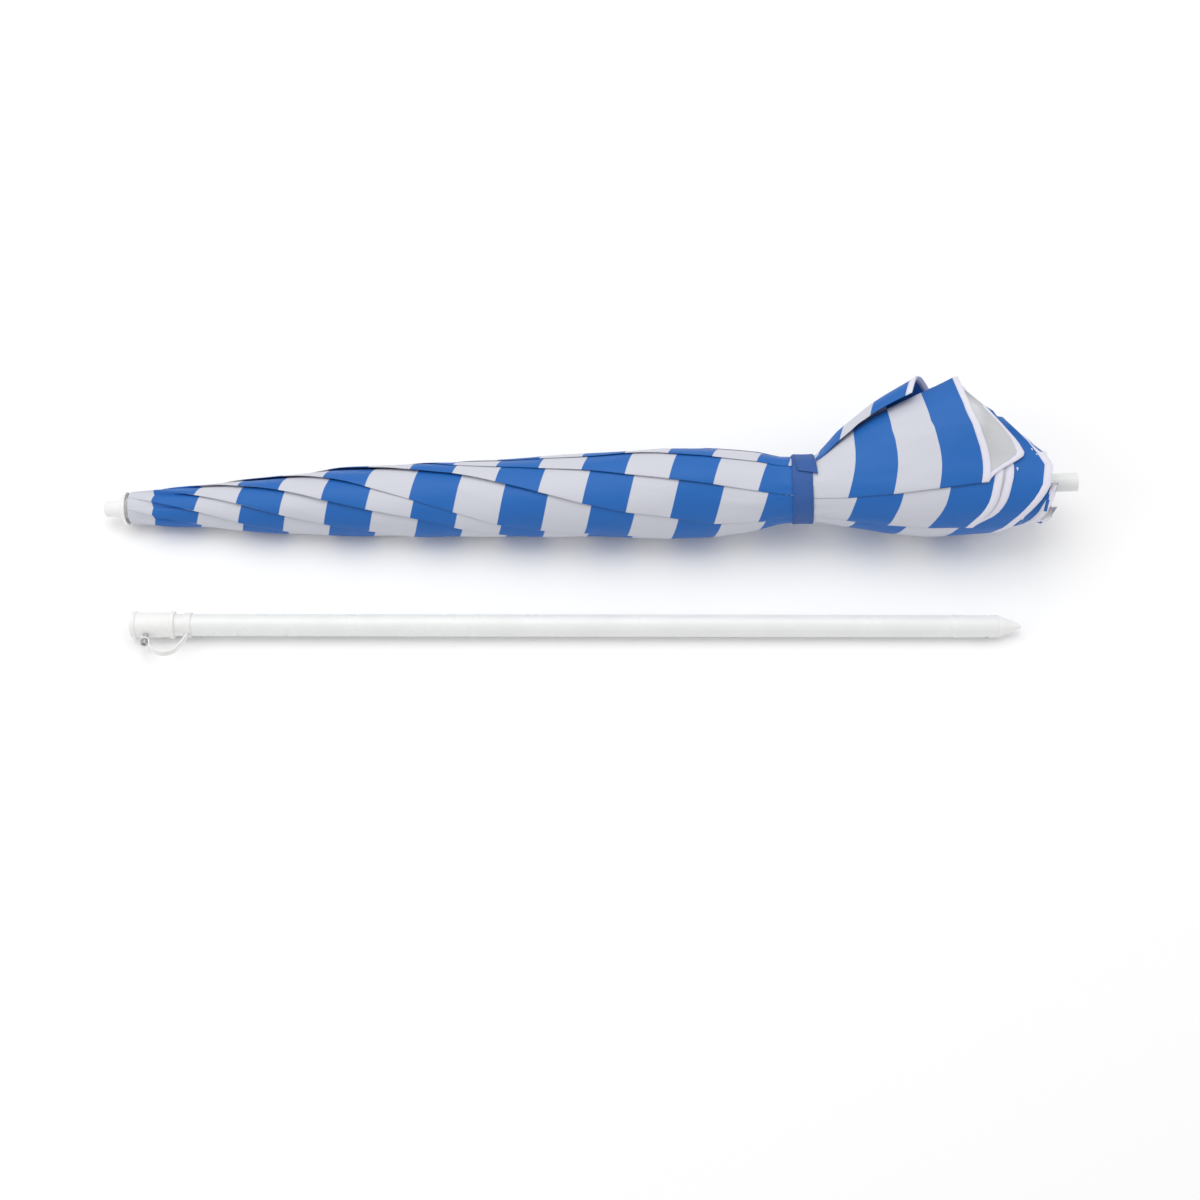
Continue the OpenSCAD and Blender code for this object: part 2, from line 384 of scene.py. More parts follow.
@dataclass(frozen=True)
class StripedCloth:
    """Coated polyester printed with broad bands across each gore."""

    name: str = "striped_polyester"
    white: tuple[float, float, float] = (0.62, 0.63, 0.70)
    blue: tuple[float, float, float] = (0.012, 0.122, 0.43)
    first: float = 0.033
    band: float = 0.0434
    edge: float = 0.0045

    def material(self) -> bpy.types.Material:
        """Builds the finish.

        Returns:
            The material.
        """
        made, shader = new_material(self.name)
        nodes, links = made.node_tree.nodes, made.node_tree.links
        weave = place_group(made, ShaderGroups.weave(), "UV", Threads=7000.0)
        where = nodes.new("ShaderNodeTexCoord")
        apart = nodes.new("ShaderNodeSeparateXYZ")
        links.new(where.outputs["UV"], apart.inputs["Vector"])
        tree, slub = made.node_tree, weave.outputs["Slub"]
        shift = maths(tree, "SUBTRACT", apart.outputs["Y"], self.first)
        part = maths(tree, "FRACT", maths(tree, "DIVIDE", shift, self.band * 2))
        away = maths(tree, "ABSOLUTE", maths(tree, "SUBTRACT", part, 0.25))
        edge = nodes.new("ShaderNodeMapRange")
        edge.inputs["From Min"].default_value = 0.25 + self.edge
        edge.inputs["From Max"].default_value = 0.25 - self.edge
        links.new(away, edge.inputs["Value"])
        white = ramp_between(made, slub, self.white, tuple(c * 0.965 for c in self.white))
        blue = ramp_between(made, slub, self.blue, tuple(c * 1.13 for c in self.blue))
        base = ramp_between(made, edge.outputs["Result"], white, blue)
        links.new(base, shader.inputs["Base Color"])
        links.new(spread_value(made, slub, 0.58, 0.46), shader.inputs["Roughness"])
        shader.inputs["Sheen Weight"].default_value = 0.04
        shader.inputs["Sheen Roughness"].default_value = 0.4
        shader.inputs["Specular IOR Level"].default_value = 0.34
        fine = bump(made, weave.outputs["Height"], 0.00004, 0.30)
        links.new(self.creases(made, where.outputs["UV"]), fine.inputs["Normal"])
        return made

    def creases(self, made: bpy.types.Material, where: bpy.types.NodeSocket) -> bpy.types.NodeSocket:
        """Soft handling creases, longer along the pole than across it.

        Args:
            made: the material.
            where: the cloth coordinates.

        Returns:
            The creased normal's socket, for the weave's relief to lie on.
        """
        nodes, links = made.node_tree.nodes, made.node_tree.links
        turned = nodes.new("ShaderNodeMapping")
        turned.inputs["Rotation"].default_value = (0.0, 0.0, 0.35)
        turned.inputs["Scale"].default_value = (1.0, 0.45, 1.0)
        noise = nodes.new("ShaderNodeTexNoise")
        noise.inputs["Scale"].default_value = 42.0
        noise.inputs["Detail"].default_value = 2.5
        noise.inputs["Roughness"].default_value = 0.45
        noise.inputs["Distortion"].default_value = 0.6
        coarse = nodes.new("ShaderNodeBump")
        coarse.inputs["Distance"].default_value = 0.0022
        coarse.inputs["Strength"].default_value = 0.5
        links.new(where, turned.inputs["Vector"])
        links.new(turned.outputs["Vector"], noise.inputs["Vector"])
        links.new(noise.outputs["Fac"], coarse.inputs["Height"])
        return coarse.outputs["Normal"]


@dataclass(frozen=True)
class PlainCloth:
    """One-colour woven cloth or coated reverse."""

    name: str
    colour: tuple[float, float, float]
    second: tuple[float, float, float]
    rough: tuple[float, float] = (0.7, 0.55)
    threads: float = 7000.0
    depth: float = 0.00005
    sheen: float = 0.15
    metal: float = 0.0

    def material(self) -> bpy.types.Material:
        """Builds the finish.

        Returns:
            The material.
        """
        made, shader = new_material(self.name)
        weave = place_group(made, ShaderGroups.weave(), "UV", Threads=self.threads)
        links, slub = made.node_tree.links, weave.outputs["Slub"]
        links.new(ramp_between(made, slub, self.colour, self.second), shader.inputs["Base Color"])
        links.new(spread_value(made, slub, *self.rough), shader.inputs["Roughness"])
        shader.inputs["Sheen Weight"].default_value = self.sheen
        shader.inputs["Metallic"].default_value = self.metal
        bump(made, weave.outputs["Height"], self.depth, 0.4)
        return made


# ---------------------------------------------------------------- mesh helpers


def mesh_object(name: str, points: np.ndarray, faces: list[tuple[int, ...]],
                materials: list[bpy.types.Material], uv: np.ndarray | None = None) -> bpy.types.Object:
    """Makes a smooth mesh object at the origin.

    Args:
        name: the piece's name.
        points: world points, in metres.
        faces: faces, each a tuple of point numbers.
        materials: the materials, in slot order.
        uv: each point's place on the flat cloth, in metres, or None.

    Returns:
        The object, linked into the scene.
    """
    mesh = bpy.data.meshes.new(name)
    mesh.from_pydata([tuple(p) for p in points], [], faces)
    for m in materials:
        mesh.materials.append(m)
    if uv is not None:
        layer = mesh.uv_layers.new(name="cloth")
        loops = np.zeros(len(mesh.loops), np.int32)
        mesh.loops.foreach_get("vertex_index", loops)
        layer.data.foreach_set("uv", uv[loops].astype(np.float32).ravel())
    mesh.polygons.foreach_set("use_smooth", np.ones(len(mesh.polygons), bool))
    mesh.update()
    made = bpy.data.objects.new(name, mesh)
    bpy.context.scene.collection.objects.link(made)
    return made


class OpenFollower:
    """Moves a cloth piece between its folded and its open place as the runner slides."""

    tree: bpy.types.NodeTree | None = None

    @classmethod
    def group(cls) -> bpy.types.NodeTree:
        """Mixes each point's place with its stored open place by the runner's travel.

        Returns:
            The geometry group, made once.
        """
        if cls.tree is not None:
            return cls.tree
        tree = bpy.data.node_groups.new("open_with_runner", "GeometryNodeTree")
        tree.interface.new_socket(name="Geometry", in_out="INPUT", socket_type="NodeSocketGeometry")
        tree.interface.new_socket(name="Geometry", in_out="OUTPUT", socket_type="NodeSocketGeometry")
        n = tree.nodes
        into, out = n.new("NodeGroupInput"), n.new("NodeGroupOutput")
        runner = n.new("GeometryNodeObjectInfo")
        runner.inputs["Object"].default_value = frame["bodies"]["runner"]
        length = n.new("ShaderNodeVectorMath")
        length.operation = "LENGTH"
        share = n.new("ShaderNodeMath")
        share.operation = "DIVIDE"
        share.inputs[1].default_value = TRAVEL
        share.use_clamp = True
        place, stored = n.new("GeometryNodeInputPosition"), n.new("GeometryNodeInputNamedAttribute")
        mix = n.new("ShaderNodeMix")
        stored.data_type = "FLOAT_VECTOR"
        stored.inputs["Name"].default_value = "open_place"
        mix.data_type = "VECTOR"
        move = n.new("GeometryNodeSetPosition")
        link = tree.links.new
        link(into.outputs["Geometry"], move.inputs["Geometry"])
        link(runner.outputs["Location"], length.inputs[0])
        link(length.outputs["Value"], share.inputs[0])
        link(share.outputs[0], mix.inputs[0])
        link(place.outputs["Position"], mix.inputs[4])
        link(stored.outputs["Attribute"], mix.inputs[5])
        link(mix.outputs[1], move.inputs["Position"])
        link(move.outputs["Geometry"], out.inputs["Geometry"])
        cls.tree = tree
        return tree

    @classmethod
    def attach(cls, piece: bpy.types.Object, places: np.ndarray) -> None:
        """Stores the open places on a piece and adds the modifier.

        Args:
            piece: the piece.
            places: one world point for each of its points, in metres.
        """
        stored = piece.data.attributes.new("open_place", "FLOAT_VECTOR", "POINT")
        stored.data.foreach_set("vector", places.astype(np.float32).ravel())
        modifier = piece.modifiers.new("open_with_runner", "NODES")
        modifier.node_group = cls.group()


# ---------------------------------------------------------------- the canopy


def smooth(t: np.ndarray) -> np.ndarray:
    """A smooth step from 0 to 1 over t from 0 to 1."""
    t = np.clip(t, 0.0, 1.0)
    return t * t * (3 - 2 * t)


def turn_from(azimuth: np.ndarray, centre: float) -> np.ndarray:
    """Degrees from a direction, between -180 and 180."""
    return (azimuth - centre + 180) % 360 - 180


def table(x: np.ndarray, pairs: Curve) -> np.ndarray:
    """Reads a listed curve at x.

    Args:
        x: where to read it.
        pairs: its stations and values.

    Returns:
        The values, joined by straight lines.
    """
    return np.interp(x, [p[0] for p in pairs], [p[1] for p in pairs])


@dataclass
class Canopy:
    """The eight gores of cloth, folded and wound round the closed ribs."""

    gores: int = 8
    hem: float = 858.0
    top_slack: float = 9.0
    half_angle: float = 21.35
    rib_azimuth: float = 349.0
    rows: int = 134
    half_columns: int = 23
    cloth: float = 0.12
    # outer radius along the pole
    bundle: Curve = ((0, 16.2), (10, 16.6), (35, 19.5), (75, 21), (110, 25), (155, 30), (215, 34.5),
                     (325, 36), (375, 38.5), (435, 41.5), (475, 42.5), (540, 45), (583, 44), (633, 38.2),
                     (655, 33.2), (664, 32.6), (690, 32.6), (700, 33.4), (720, 37), (760, 43), (800, 46),
                     (860, 46), (920, 42))
    # direction of an average folded edge along the pole, and of each edge that lies differently
    wind: Curve = ((8, -6), (35, 18), (60, 36), (90, 57), (119, 76), (160, 98), (200, 117), (245, 138),
                   (287, 157), (330, 178), (375, 200), (416, 210), (459, 222), (500, 234), (544, 243),
                   (588, 251), (632, 257), (666, 262), (700, 265), (800, 266), (930, 266))
    edges: dict[int, Curve] = field(default_factory=lambda: {
        0: ((8, -8), (60, 34), (119, 76), (202, 117), (245, 135), (287, 151), (332, 172), (375, 191),
            (416, 204), (459, 217), (500, 230), (544, 241), (588, 250), (632, 257), (666, 262), (930, 262)),
        -1: ((8, -4), (60, 38), (119, 78), (195, 114), (242, 140), (285, 163), (326, 186), (375, 211),
             (416, 223), (459, 232), (500, 240), (544, 248), (588, 255), (666, 265), (930, 268)),
        -2: ((8, -6), (60, 36), (119, 76), (200, 117), (245, 138), (281, 154), (330, 167), (373, 187),
             (416, 206), (459, 223), (499, 236), (539, 245), (585, 260), (632, 267), (666, 270),
             (720, 274), (930, 280)),
        -3: ((8, -6), (60, 36), (119, 76), (200, 119), (245, 141), (287, 165), (326, 190), (375, 203),
             (412, 211), (456, 220), (500, 231), (544, 240), (588, 248), (632, 259), (666, 269),
             (690, 275), (720, 273), (767, 267), (856, 255), (930, 253)),
        -4: ((8, -6), (60, 36), (119, 78), (200, 121), (245, 145), (287, 170), (326, 203), (375, 222),
             (435, 234), (501, 237), (544, 245), (588, 250), (634, 254), (665, 257), (690, 257),
             (712, 249), (747, 237), (789, 228), (930, 225)),
        -5: ((8, -6), (60, 36), (119, 76), (200, 119), (300, 168), (400, 212), (500, 236), (600, 251),
             (665, 252), (700, 247), (760, 225), (800, 215), (930, 210)),
    })

    # height of the loose cloth's crest along the pole, and its share by degrees from its highest direction
    crest_azimuth: float = 30.0
    crest: Curve = ((690, 0), (700, 10), (712, 22), (747, 44), (783, 61), (826, 83), (850, 82), (868, 56),
                    (885, 26), (905, 8), (930, 0))
    crest_share: Curve = ((-95, 0), (-65, 0.08), (-45, 0.24), (-25, 0.55), (-12, 0.86), (-4, 0.98), (3, 1),
                          (9, 0.97), (15, 0.82), (20, 0.71), (30, 0.53), (45, 0.237), (60, 0.09),
                          (75, 0.03), (92, 0))
    # share of its length that each loose flap gives up by standing out, and the turned-back flap's curve of it
    pulls: dict[int, float] = field(default_factory=lambda: {-5: 0.30, -3: 0.27, -2: 0.27, -1: 0.20})
    other_pull: float = 0.12
    turned_flap: int = -4
    turned_back: Curve = ((640, 0), (690, 18), (721, 31), (765, 50), (812, 64), (857, 70), (920, 78))
    # how deep a flap sinks near the hem, and the direction where it stops
    sinks: dict[int, tuple[float, float]] = field(default_factory=lambda: {
        -2: (1.5, 100), -1: (3.0, 100), 0: (3.0, 172), 1: (3.0, 172), 2: (3.0, 172)})

    def step(self) -> float:
        """Degrees between two ribs."""
        return 360.0 / self.gores

    def flaps(self) -> range:
        """Numbers of the folded gores, in order round the pole."""
        return range(min(self.edges), min(self.edges) + self.gores)

    def base_azimuth(self, flap: int, side: Side) -> float:
        """Direction of the rib that one half of a flap starts from."""
        return self.rib_azimuth - 360.0 + self.step() * (flap + (1 if side is Side.INNER else 0))

    def radius_in(self, u: np.ndarray) -> np.ndarray:
        """Radius of the innermost cloth, just over the ribs."""
        return np.where(u < 17, 15.9, 16.35 + 0.0185 * (u - 17))

    def crest_height(self, u: np.ndarray, azimuth: np.ndarray) -> np.ndarray:
        """Height of the loose cloth's crest beyond the strap.

        Args:
            u: distance along the pole, in millimetres.
            azimuth: direction round the pole, in degrees.

        Returns:
            The height, in millimetres, with the crest's corners rounded.
        """
        away = turn_from(azimuth, self.crest_azimuth)
        rounded = sum(table(away + shift, self.crest_share) for shift in (-3, 0, 3)) / 3
        return table(u, self.crest) * rounded

    def radius_out(self, u: np.ndarray, azimuth: np.ndarray) -> np.ndarray:
        """Outer radius of the wound cloth.

        Args:
            u: distance along the pole, in millimetres.
            azimuth: direction round the pole, in degrees.

        Returns:
            The radius, in millimetres.
        """
        base = table(u, self.bundle)
        a = np.radians(azimuth)
        body = smooth((u - 60) / 120) * smooth((672 - u) / 60)
        lumps = 0.9 * np.sin(2 * a + u / 47) + 0.7 * np.sin(3 * a - u / 33 + 1.3)
        lumps = lumps + 0.35 * np.sin(5 * a + u / 19)
        gather = np.exp(-((u - 676) / 26.0) ** 2)
        pleats = 0.45 * np.sin(13 * a + 0.6) + 0.35 * np.sin(19 * a + 2)
        sag = 11 * np.exp(-(turn_from(azimuth, 252) / 34) ** 2) * np.exp(-((u - 805) / 65) ** 2)
        tuck = 3.2 * np.exp(-((azimuth - 61) / 4.0) ** 2) * smooth((u - 705) / 40) * smooth((862 - u) / 20)
        return base + body * lumps + gather * pleats + sag - tuck + self.crest_height(u, azimuth)

    def rise(self, x: np.ndarray) -> np.ndarray:
        """Share of the bundle's depth reached at each share of the winding."""
        return 1 - 0.78 * (1 - x) ** 1.15 - 0.22 * (1 - x) ** 6

    def edge_azimuth(self, flap: int, u: np.ndarray) -> np.ndarray:
        """Direction of a flap's folded edge.

        Args:
            flap: the flap's number.
            u: distance along the pole.

        Returns:
            Degrees round the pole.
        """
        return table(u, self.edges.get(flap, self.wind)) + self.step() * flap

    def section(self, flap: int, side: Side, u: np.ndarray,
                samples: int = 420) -> tuple[np.ndarray, np.ndarray]:
        """The run of one half of a flap from its rib to its folded edge, row by row.

        Args:
            flap: the flap's number.
            side: its outer or inner half.
            u: distance along the pole of each row.
            samples: points along each run.

        Returns:
            Azimuth and share of the cloth's width from the edge, each rows by samples.
        """
        base = self.base_azimuth(flap, side)
        end = self.edge_azimuth(flap, u)[:, None]
        x = np.linspace(0, 1, samples)[None, :]
        azimuth = base + (end - base) * x
        inside = self.radius_in(u)[:, None]
        rows = np.repeat(u[:, None], samples, 1)
        radius = inside + (self.radius_out(rows, azimuth) - inside) * self.rise(x)
        a = np.radians(azimuth)
        y, z = radius * np.cos(a), radius * np.sin(a)
        run = np.concatenate((np.zeros((len(u), 1)), np.cumsum(np.hypot(np.diff(y), np.diff(z)), 1)), 1)
        return azimuth, 1 - run / run[:, -1:]

    def rows_at(self) -> np.ndarray:
        """Cloth distances of the mesh's rows, from the crown to the hem."""
        first = np.array((1.0, 3.0, 5.0, 7.0, 8.5, 10.5))
        return np.concatenate((first, np.linspace(13, self.hem, self.rows - len(first))))

    def shares(self) -> np.ndarray:
        """Places the columns of a half gore, finer near its folded edge.

        Returns:
            Shares of the half gore's width from that edge.
        """
        near = np.array((0, 0.005, 0.015, 0.03, 0.048, 0.068, 0.09, 0.112, 0.135, 0.16, 0.185,
                         0.21, 0.235, 0.26, 0.29))
        far = np.linspace(0.29, 1, self.half_columns - len(near) + 2)[1:]
        return np.concatenate((near, far))

    def half(self, flap: int, side: Side) -> tuple[np.ndarray, np.ndarray, np.ndarray]:
        """Folded places of one half gore.

        Args:
            flap: the flap's number.
            side: its outer or inner half.

        Returns:
            Pole-frame points, cloth coordinates and open points, each rows by columns.
        """
        v, w = self.rows_at(), self.shares()
        width = (v + self.top_slack) * math.tan(math.radians(self.half_angle))
        lateral = width[:, None] * w[None, :]
        slip = 3 + 6 * smooth((v - 250) / 380) * (1 - 0.7 * smooth((v - 812) / 46))
        q = np.maximum(v - slip, 5.0)[:, None] + 0.202 * lateral * smooth(v / 60)[:, None]
        centre = q[:, :1]
        azimuth, share = self.section(flap, side, centre[:, 0])
        a = np.stack([np.interp(w, share[i][::-1], azimuth[i][::-1]) for i in range(len(v))])
        u = q - self.held_back(flap, q, w, a) + self.reach(flap, side, q, lateral, a)
        inside = self.radius_in(u)
        base = self.base_azimuth(flap, side)
        turn = self.edge_azimuth(flap, centre) - base
        x = np.clip((a - base) / np.maximum(turn, 1e-6), 0, 1)
        room = self.radius_out(u, a) - inside
        r = inside + room * self.rise(x) + self.pucker(x, room, q, turn) * smooth((v - 60) / 60)[:, None]
        top = v < 8
        r[top] = (9.7 + (v[top] - 1) * 0.98)[:, None]
        r = r + self.wrinkle(u, a, x) * smooth((v - 20) / 60)[:, None]
        # the two halves stay a little apart, and meet at the edge
        apart = np.clip(0.036 * room, 0.13, 0.42)
        r = r + side.value * -apart * (1 - np.exp(-lateral / 2.2)) * smooth((v - 8) / 30)[:, None]
        sink, until = self.sinks.get(flap, (0.0, 100))
        r = r - sink * smooth((v - 770) / 50)[:, None] * smooth((until - a) / 30) * smooth((a - 20) / 30)
        rad = np.radians(a)
        folded = self.on_floor(np.stack((u, r * np.cos(rad), r * np.sin(rad)), -1))
        uv = np.stack((side.value * lateral, np.repeat(v[:, None], len(w), 1)), -1) * MM
        return folded, uv, self.open_half(flap, side, v, w)

    def held_back(self, flap: int, q: np.ndarray, w: np.ndarray, azimuth: np.ndarray) -> np.ndarray:
        """How much of its length along the pole a loose flap uses up by standing out.

        Args:
            flap: the flap's number.
            q: distance along the pole, in millimetres.
            w: shares of the columns from the folded edge.
            azimuth: direction round the pole, in degrees.

        Returns:
            The length used up, in millimetres.
        """
        if flap == self.turned_flap:
            return table(q, self.turned_back) * (1 - w[None, :] ** 2) * smooth((azimuth + 75) / 60)
        crest = np.exp(-(turn_from(azimuth, self.crest_azimuth) / 42.0) ** 2)
        return np.maximum(q - 690, 0) * self.pulls.get(flap, self.other_pull) * crest

    def pucker(self, x: np.ndarray, room: np.ndarray, q: np.ndarray, turn: np.ndarray) -> np.ndarray:
        """Lengthwise puckers of the cloth under the flaps, where nothing shows it.

        Args:
            x: share of the winding, 1 at the edge.
            room: depth between the ribs and the outermost cloth, in millimetres.
            q: distance along the pole, in millimetres.
            turn: degrees from the flap's rib to its edge.

        Returns:
            The change of radius, in millimetres.
        """
        deep = np.clip(0.72 - self.rise(x), 0, 0.52)
        height = np.minimum(deep * room, 9.0) * (0.5 + 0.5 * np.sin(q * 2 * math.pi / 25.8))
        hidden = 0.88 - self.step() / np.maximum(turn, 46.0)
        return height * smooth((hidden - x) / 0.2) * smooth(x / 0.06)

    def reach(self, flap: int, side: Side, q: np.ndarray, lateral: np.ndarray,
              azimuth: np.ndarray) -> np.ndarray:
        """How much further than its neighbours a loose flap reaches along the pole.

        Args:
            flap: the flap's number.
            side: its outer or inner half.
            q: distance along the pole, in millimetres.
            lateral: distance from the folded edge.
            azimuth: direction round the pole, in degrees.

        Returns:
            The extra reach, in millimetres.
        """
        loose = smooth((q - 700) / 165)
        if flap == -3 and side is Side.INNER:
            return 36 * loose * smooth(lateral / 45) * smooth((azimuth - 42) / 30)
        if flap == -2:
            inner = 8.0 if side is Side.INNER else 0.0
            return loose * (-15 * smooth((azimuth - 140) / 60) + inner * smooth(lateral / 30))
        if flap == -1:
            near = np.exp(-((azimuth - 116) / 64) ** 2)
            above = np.exp(-((azimuth - 45) / 35) ** 2)
            kept = 1.0 if side is Side.OUTER else smooth(1 - lateral / 120)
            return loose * (12 + 28 * near + 16 * above) * kept
        if flap in (0, 1, 2, -5):
            return -20 * loose * np.exp(-((azimuth - 175) / 55) ** 2)
        return np.zeros_like(q)

    def wrinkle(self, u: np.ndarray, azimuth: np.ndarray, x: np.ndarray) -> np.ndarray:
        """Creases that run along the folds and fan out past the strap, the same in every layer.

        Args:
            u: distance along the pole, in millimetres.
            azimuth: direction round the pole, in degrees.
            x: share of the winding, 1 at the edge.

        Returns:
            The change of radius, in millimetres.
        """
        free = smooth((x - 0.30) / 0.3)
        b = np.radians(azimuth - table(u, self.wind))
        slow = 0.55 + 0.45 * np.sin(u / 57 + 3 * b) * np.sin(u / 31 - 2 * b)
        ridge = 0.9 * np.sin(9 * b + u / 45) + 0.6 * np.sin(14 * b - u / 28 + 1)
        ridge = ridge + 0.25 * np.sin(19 * b + u / 23)
        cross = 0.35 * np.sin(u / 10.5 + 4 * b) * np.sin(u / 37 + 5 * b)
        tight = 0.22 + 0.20 * np.exp(-((u - 730) / 30) ** 2) + 0.10 * np.exp(-((u - 630) / 36) ** 2)
        tight = tight + 0.25 * smooth((u - 720) / 60) - 0.12 * smooth((260 - u) / 120)
        return free * tight * (ridge * slow + cross)

    def on_floor(self, points: np.ndarray) -> np.ndarray:
        """Keeps the lowest cloth on the floor, each layer a hair above the next."""
        m = UPPER.matrix()
        drop = np.array(UPPER.origin)[2] / MM
        height = drop + points[..., 0] * m[0, 2] + points[..., 2] * m[2, 2]
        least = 0.35 + 0.04 * np.maximum(60 - np.hypot(points[..., 1], points[..., 2]), 0)
        lift = np.maximum(least - height, 0)
        return points + np.stack((np.zeros_like(lift), np.zeros_like(lift), lift / m[2, 2]), -1)

    def open_half(self, flap: int, side: Side, v: np.ndarray, w: np.ndarray) -> np.ndarray:
        """Places of one half gore on the open frame.

        Args:
            flap: the flap's number.
            side: which half.
            v: cloth distances of the rows.
            w: shares of the columns from the mid-line.

        Returns:
            Pole-frame points, rows by columns.
        """
        s = np.maximum(-10 + 913 * v / self.hem, -8)
        clear = 3.0 + 0.9 * smooth((v - 815) / 30)
        out = PIVOT_OUT + s * math.sin(OPEN_ANGLE) + clear * math.cos(OPEN_ANGLE)
        u = PIVOT_ALONG + s * math.cos(OPEN_ANGLE) - clear * math.sin(OPEN_ANGLE)
        opposite = Side.INNER if side is Side.OUTER else Side.OUTER
        own, other = (math.radians(self.base_azimuth(flap, each)) for each in (side, opposite))
        near = np.stack((out * math.cos(own), out * math.sin(own)), -1)[:, None, :]
        far = np.stack((out * math.cos(other), out * math.sin(other)), -1)[:, None, :]
        k = ((1 + w) / 2)[None, :, None]
        across = near * k + far * (1 - k)
        across = across * (1 - 0.03 * (1 - w[None, :, None] ** 2) * smooth(v / 300)[:, None, None])
        return np.concatenate((np.repeat(u[:, None, None], len(w), 1), across), -1)

    def grid(self) -> tuple[np.ndarray, np.ndarray, np.ndarray]:
        """The whole cloth as one closed ring of columns.

        Returns:
            Folded points, cloth coordinates and open points, rows by columns.
        """
        halves = [(self.half(flap, Side.OUTER), self.half(flap, Side.INNER)) for flap in self.flaps()]
        stacks = []
        for which in range(3):
            columns = []
            for outer, inner in halves:
                columns += [outer[which][:, ::-1], inner[which][:, 1:-1]]
            stacks.append(np.concatenate(columns, 1))
        return tuple(stacks)

    def build(self, finishes: list[bpy.types.Material]) -> tuple[bpy.types.Object, np.ndarray, np.ndarray]:
        """Builds the cloth piece.

        Args:
            finishes: the printed side's and the coated reverse's materials.

        Returns:
            The piece, and its folded and open grids in pole coordinates.
        """
        folded, uv, opened = self.grid()
        rows, columns = folded.shape[:2]
        faces = []
        for i in range(rows - 1):
            for j in range(columns):
                k = (j + 1) % columns
                faces.append((i * columns + j, i * columns + k, (i + 1) * columns + k, (i + 1) * columns + j))
        points = UPPER.world(folded.reshape(-1, 3))
        piece = mesh_object("canopy_cloth", points, faces, finishes)
        layer = piece.data.uv_layers.new(name="cloth")
        flat = uv.reshape(-1, 2)
        half = len(self.shares())
        gore = 2 * half - 2
        for polygon in piece.data.polygons:
            in_last_half = polygon.vertices[0] % columns % gore >= half - 1
            for loop in polygon.loop_indices:
                vertex = piece.data.loops[loop].vertex_index
                across, down = flat[vertex]
                # a rib's column belongs to two gores, and closes the inner half from its far side
                if in_last_half and vertex % columns % gore == 0:
                    across = abs(across)
                layer.data[loop].uv = (across, down)
        OpenFollower.attach(piece, UPPER.world(opened.reshape(-1, 3)))
        shell = piece.modifiers.new("cloth_thickness", "SOLIDIFY")
        shell.thickness = self.cloth * MM
        shell.offset = -1.0
        shell.material_offset = 1
        shell.material_offset_rim = 1
        return piece, folded, opened


def grid_normals(points: np.ndarray) -> np.ndarray:
    """Normals of a ring-shaped grid of points.

    Args:
        points: rows by columns of points, the columns closed into a ring.

    Returns:
        Unit normals, in the same shape, on the side that the cloth's print is on.
    """
    across = np.roll(points, -1, 1) - np.roll(points, 1, 1)
    down = np.gradient(points, axis=0)
    normal = np.cross(across, down)
    return normal / np.maximum(np.linalg.norm(normal, axis=-1, keepdims=True), 1e-9)


@dataclass
class HemTape:
    """Woven binding folded over the cloth's edge."""

    width: float = 7.0
    half_thickness: float = 0.24

    def rows(self, canopy: Canopy, grid: np.ndarray) -> np.ndarray:
        """The binding's section, carried round the hem.

        Args:
            canopy: the canopy it is sewn to.
            grid: the canopy's folded or open grid.

        Returns:
            Seven rows of points, in pole coordinates.
        """
        v = canopy.rows_at()
        share = min(max((canopy.hem - self.width - v[-3]) / (v[-2] - v[-3]), 0.0), 1.0)
        start = grid[-3] + (grid[-2] - grid[-3]) * share
        edge, n, t = grid[-1], grid_normals(grid)[-1], self.half_thickness
        middle = start + (edge - start) * 0.5
        out = edge - start
        out = out / np.maximum(np.linalg.norm(out, axis=-1, keepdims=True), 1e-9)
        return np.stack((start + n * t * 0.6, middle + n * t, edge + n * t * 0.9, edge + out * t * 1.2,
                         edge - n * t * 1.5, middle - n * t * 1.6, start - n * t * 1.3), 0)

    def build(self, canopy: Canopy, grids: tuple[np.ndarray, np.ndarray],
              finish: bpy.types.Material) -> bpy.types.Object:
        """Builds the binding from the cloth's last rows.

        Args:
            canopy: the canopy it is sewn to.
            grids: the canopy's folded and open grids.
            finish: the binding's material.

        Returns:
            The piece.
        """
        folded, opened = canopy.on_floor(self.rows(canopy, grids[0])), self.rows(canopy, grids[1])
        rows, columns = folded.shape[:2]
        faces = []
        for i in range(rows):
            for j in range(columns):
                a, b = (j + 1) % columns, (i + 1) % rows
                faces.append((i * columns + j, b * columns + j, b * columns + a, i * columns + a))
        along = np.concatenate(([0.0], np.cumsum(np.linalg.norm(np.diff(folded[3], axis=0), axis=-1))))
        around = np.linspace(0, 2 * self.width, rows)
        uv = np.stack((np.repeat(along[None, :], rows, 0), np.repeat(around[:, None], columns, 1)), -1) * MM
        points = UPPER.world(folded.reshape(-1, 3))
        piece = mesh_object("hem_binding", points, faces, [finish], uv.reshape(-1, 2))
        OpenFollower.attach(piece, UPPER.world(opened.reshape(-1, 3)))
        return piece


